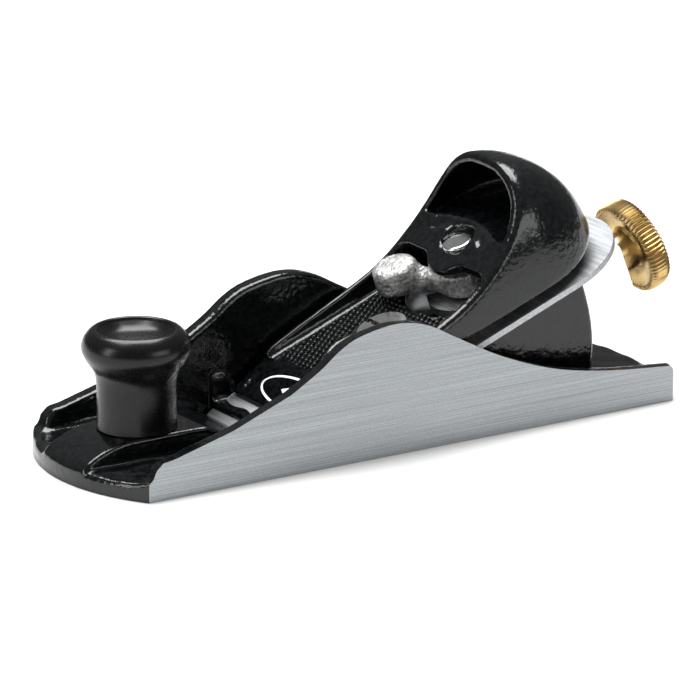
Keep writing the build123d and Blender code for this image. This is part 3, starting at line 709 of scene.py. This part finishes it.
def raised_point(u, y, first, radius, rise):
    """One small dome on the panel.  Its faces number their corners from first."""
    sides = 8
    rings = ((1.0, -0.4), (0.95, 0.1), (0.62, 0.75))    # shares of the radius and of the rise
    corners = [
        (u + radius * wide * cos(2 * pi * k / sides), y + radius * wide * sin(2 * pi * k / sides),
         PANEL_TOP + rise * high)
        for wide, high in rings for k in range(sides)
    ]
    corners += [(u, y, PANEL_TOP + rise), (u, y, PANEL_TOP - 0.4)]
    top = len(rings) * sides
    faces = []
    for k in range(sides):
        n = (k + 1) % sides
        faces += [(k, n, n + sides, k + sides),
                  (k + sides, n + sides, n + 2 * sides, k + 2 * sides),
                  (k + 2 * sides, n + 2 * sides, top), (n, k, top + 1)]
    return corners, [tuple(first + c for c in face) for face in faces]


def panel_stipple(enamel):
    """Rows of small raised points cast on the cap's panel for grip."""
    pitch, radius, rise = 1.7, 0.6, 0.7
    start_u, end_u, half = 21.5, 51.0, 15.8
    clear_of_key, clear_of_well = 7.6, WELL_RADIUS + 1.1
    key_line = np.linspace(SCREW_U - KEY_TRAVEL, SCREW_U, 9)
    corners, faces = [], []
    rows = int((end_u - start_u) / (pitch * 0.866)) + 1
    for row in range(rows):
        u = start_u + row * pitch * 0.866
        y = -half + (pitch / 2 if row % 2 else 0)
        while y <= half:
            from_key = min(np.hypot(u - c, y) for c in key_line)
            if from_key > clear_of_key and np.hypot(u - CAM_U, y) > clear_of_well:
                dome, skin = raised_point(u, y, len(corners), radius, rise)
                corners += dome
                faces += skin
            y += pitch
    return make_piece("panel_stipple", from_bed(np.array(corners)), faces, "lever_cap", enamel)


def cap_emblem(paint):
    """A plain painted emblem at the cap's nose: an oval ring round a lozenge."""
    middle = 13.6
    corners, faces = [], []

    def on_nose(u, y, lift):
        slope = (PANEL_TOP - NOSE_TOP) / (RAMP_END_U - NOSE_U)
        return (u, y, NOSE_TOP + (u - NOSE_U) * slope + lift)

    def band(outer, inner):
        first, count = len(corners), len(outer)
        for lift in (0.07, -0.25):
            for ring in (outer, inner):
                corners.extend(on_nose(u, y, lift) for u, y in ring)
        for k in range(count):
            # outer and inner edge, above and below, at this corner and at the next
            o, i, o_low, i_low = (first + k + ring * count for ring in range(4))
            n = (k + 1) % count
            o2, i2, o2_low, i2_low = (first + n + ring * count for ring in range(4))
            faces.extend([(o, o2, i2, i), (o_low, i_low, i2_low, o2_low),
                          (o, o_low, o2_low, o2), (i, i2, i2_low, i_low)])

    def oval(a, b, count=64):
        return [(middle + a * cos(2 * pi * k / count), b * sin(2 * pi * k / count))
                for k in range(count)]

    def lozenge(a, b):
        return [(middle + a, 0), (middle, b), (middle - a, 0), (middle, -b)]

    band(oval(4.2, 13.0), oval(3.6, 12.4))
    band(lozenge(2.6, 5.2), lozenge(1.5, 3.0))
    return make_piece("cap_emblem", from_bed(np.array(corners)), faces, "lever_cap", paint,
                      soft=False)


# ---------------------------------------------------------------- cam lever


def cam_field(u, y, v):
    """Cam lever: hub under the cap's boss, S-shaped neck and an upright thumb pad."""
    from_cam = from_axis(u, y, CAM_U)
    hub = blend_keep(from_cam - 6.8, slab(v, 4.85, 10.65), 1.0)
    from_pad = np.sqrt((u - 53.2) ** 2 + (y - 9.7) ** 2)
    pad = blend_keep(from_pad - 5.2 + 0.06 * (v - 15), slab(v, 8.4, 15.1), 1.8)
    root, bend, tip = (62.0, 2.6, 7.7), (58.2, 5.6, 8.7), (54.4, 8.6, 11.9)
    neck = blend_join(capsule(u, y, v, root, bend, 2.6, 2.6),
                      capsule(u, y, v, bend, tip, 2.6, 3.0), 1.8)
    metal = blend_join(blend_join(hub, neck, 2.2), pad, 2.0)
    return np.maximum(metal, CAM_HOLE - from_cam)


def cam_lever(zinc):
    """Thumb lever that locks the cap."""
    corners, faces = lay_skin(cam_field, (47.0, -8.5, 3.5), (74.0, 17.5, 17.5), 0.3)
    return make_piece("zinc_cam_lever", from_bed(corners), faces, "cam_lever", zinc,
                      ("cam_lever",))


# ---------------------------------------------------------------- adjusting wheel


def adjusting_wheel(brass):
    """Knurled wheel: straight teeth round its rim, turned front face with a hub."""
    hub_rise, rear = 3.6, WHEEL_THICK
    profile = [
        (WHEEL_BORE, -hub_rise), (4.2, -hub_rise), (4.75, -hub_rise + 0.4), (4.8, -0.6), (5.0, 0.9),
        (5.6, 1.55), (6.6, 1.6), (8.4, 0.95), (9.8, 0.25), (10.3, 0.0), (10.7, 0.05),
        (11.05, 0.35), (11.3, 0.9), (11.45, 1.7), (11.48, 2.7), (11.45, 3.7), (11.3, 4.4),
        (11.05, 5.0), (10.7, rear - 0.08), (10.1, rear), (4.2, rear), (3.9, rear - 0.2),
        (WHEEL_BORE, rear - 0.2), (WHEEL_BORE, 2.0), (WHEEL_BORE, -hub_rise),
    ]

    def tooth(radius, height, angle):
        """The teeth run out over the front edge, between these two radii."""
        depth, inmost, full = 0.55, 9.7, 10.1
        reach = min(max((radius - inmost) / (full - inmost), 0), 1)
        return -depth * reach * (0.5 - 0.5 * cos(KNURL_TEETH * angle)) ** 0.8

    corners, faces = turn_profile(profile, KNURL_TEETH * 8, tooth)
    u = WHEEL_U + corners[:, 2]
    placed = from_bed(np.stack((u, corners[:, 0], WHEEL_V + corners[:, 1]), axis=1))
    piece = make_piece("knurled_wheel", placed, [f[::-1] for f in faces], "depth_screw", brass,
                       ("adjusting_wheel",))
    smooth_by_angle(piece, 32)
    return piece


# ---------------------------------------------------------------- floor, lights, camera


def studio_floor():
    """A plain pale paper sweep under the tool."""
    half = 3.0
    mesh = bpy.data.meshes.new("studio_floor")
    mesh.from_pydata([(-half, -half, 0), (half, -half, 0), (half, half, 0), (-half, half, 0)], [],
                     [(0, 1, 2, 3)])
    floor = bpy.data.objects.new("studio_floor", mesh)
    bpy.context.scene.collection.objects.link(floor)
    material, _, shader = new_material("white_paper", Roughness=0.65)
    shader.inputs["Base Color"].default_value = linear("#E6E6E6")
    mesh.materials.append(material)


def soft_box(name, place, target, width, height, power):
    """A rectangular soft light that faces the target."""
    light = bpy.data.lights.new(name, "AREA")
    light.shape = "RECTANGLE"
    light.size, light.size_y, light.energy = width, height, power
    lamp = bpy.data.objects.new(name, light)
    lamp.location = place
    aim = Vector(target) - Vector(place)
    lamp.rotation_euler = aim.to_track_quat("-Z", "Y").to_euler()
    bpy.context.scene.collection.objects.link(lamp)
    return lamp


def studio_light():
    """Overhead box, a low box on each side, and a pale room."""
    middle = (0, 0, 0.02)
    soft_box("overhead_box", (0.1, 0.35, 1.4), middle, 1.3, 1.0, 46)
    soft_box("left_box", (-1.3, 0.1, 0.55), middle, 0.35, 0.9, 5)
    soft_box("right_box", (0.5, -1.3, 0.5), middle, 0.9, 0.5, 4)
    world = bpy.data.worlds.new("pale_room")
    bpy.context.scene.world = world
    world.use_nodes = True
    tree = world.node_tree
    sky = tree.nodes["Background"]
    place = add(tree, "ShaderNodeTexCoord").outputs["Generated"]
    height = add(tree, "ShaderNodeSeparateXYZ", Vector=place)
    fall = add(tree, "ShaderNodeMapRange", {"From Min": -0.2, "From Max": 0.9, "To Min": 0.08,
               "To Max": 0.26}, Value=height.outputs["Z"])
    tree.links.new(fall.outputs["Result"], sky.inputs["Strength"])
    sky.inputs["Color"].default_value = (1, 1, 1, 1)


def studio_camera():
    """Long lens, low and to the toe's left."""
    azimuth, elevation = radians(-32.64), radians(17.16)
    back = Vector((sin(azimuth) * cos(elevation), -cos(azimuth) * cos(elevation), sin(elevation)))
    camera = bpy.data.cameras.new("camera")
    camera.sensor_width = 36
    camera.lens = 414.5
    camera.clip_end = 20
    eye = bpy.data.objects.new("camera", camera)
    eye.location = (-0.9555, -1.4921, 0.5649)
    eye.rotation_euler = back.to_track_quat("Z", "Y").to_euler()
    bpy.context.scene.collection.objects.link(eye)
    bpy.context.scene.camera = eye
    bpy.context.scene.view_settings.view_transform = "Standard"


# ---------------------------------------------------------------- assembly

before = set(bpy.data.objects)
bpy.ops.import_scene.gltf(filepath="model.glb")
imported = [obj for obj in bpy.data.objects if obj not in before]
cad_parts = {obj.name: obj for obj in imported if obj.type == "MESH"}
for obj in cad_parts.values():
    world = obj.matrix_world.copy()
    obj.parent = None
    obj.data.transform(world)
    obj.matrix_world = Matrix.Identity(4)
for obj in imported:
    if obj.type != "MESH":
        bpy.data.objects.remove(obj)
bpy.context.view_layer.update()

enamel = black_enamel("black_enamel")
cap_enamel = black_enamel("cap_enamel", lump=3.0, depth=0.08)
iron = ground_iron()
steel = satin_steel()
ground_blade = satin_steel("ground_blade", "#6C6F72", (0.42, 0.56))
blued = satin_steel("blued_steel", "#17181A")
nickel = nickel_plate()
brass = turned_brass()
zinc = cast_zinc()
phenolic = moulded_plastic()
paint = marking_paint()

body_casting(enamel, iron)
front_knob(phenolic)
lever_cap(cap_enamel)
panel_stipple(cap_enamel)
cap_emblem(paint)
cam_lever(zinc)
adjusting_wheel(brass)

kept_nodes = {
    "blade": (ground_blade, 0.12), "lateral_lever": (nickel, 0.25), "cap_screw": (nickel, 0.2),
    "lateral_pivot": (steel, 0.1), "pivot_washer": (steel, 0.05), "spindle": (steel, 0.15),
    "retaining_clip": (steel, 0.08), "thrust_washer": (steel, 0.1), "feed_nut": (steel, 0.2),
    "knob_stud": (steel, 0.1), "cam_pin": (nickel, 0.15), "pressure_disc": (blued, 0.15),
    "cam_washer": (blued, 0.05),
}
for node, (finish, width) in kept_nodes.items():
    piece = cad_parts[node]
    piece.data.materials.clear()
    piece.data.materials.append(finish)
    ease_edges(piece, width)

studio_floor()
studio_light()
studio_camera()
